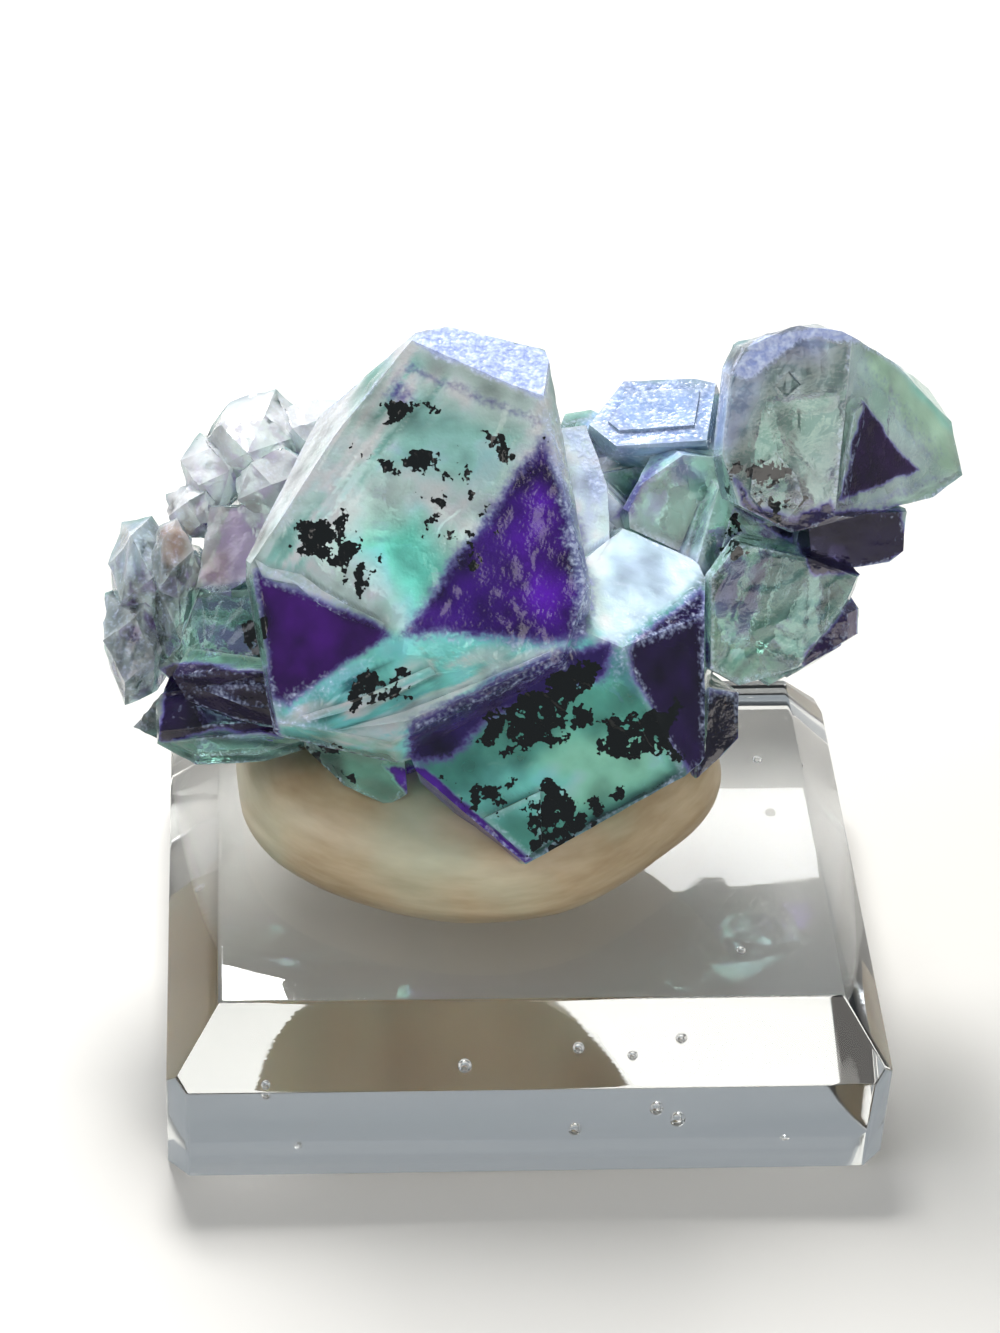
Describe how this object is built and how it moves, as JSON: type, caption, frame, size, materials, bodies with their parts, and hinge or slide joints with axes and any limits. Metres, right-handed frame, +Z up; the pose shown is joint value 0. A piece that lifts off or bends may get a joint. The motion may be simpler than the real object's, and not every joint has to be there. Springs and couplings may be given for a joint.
{
  "type": "fluorite specimen on a display base",
  "caption": "Cluster of intergrown green and purple fluorite crystals, pressed into a wad of mineral putty on a clear bevelled display block.",
  "frame": {"origin": "centre of the underside of the clear block, which rests on a surface", "axes": "+Z up, +X to the right along the long side of the block, -Y towards the side that shows the crystals best"},
  "size_m": [0.0615, 0.0438, 0.0513],
  "materials": {
    "fluorite": "translucent green and aqua crystal with deep purple zones, satin to frosted faces",
    "putty": "cream mineral putty, satin, smoothed by hand",
    "clear_acrylic": "clear cast acrylic, polished, with bevelled top edges"
  },
  "bodies": {
    "root": {"fluorite_cluster": "fluorite", "mineral_tack": "putty", "acrylic_base": "clear_acrylic"}
  },
  "joints": []
}
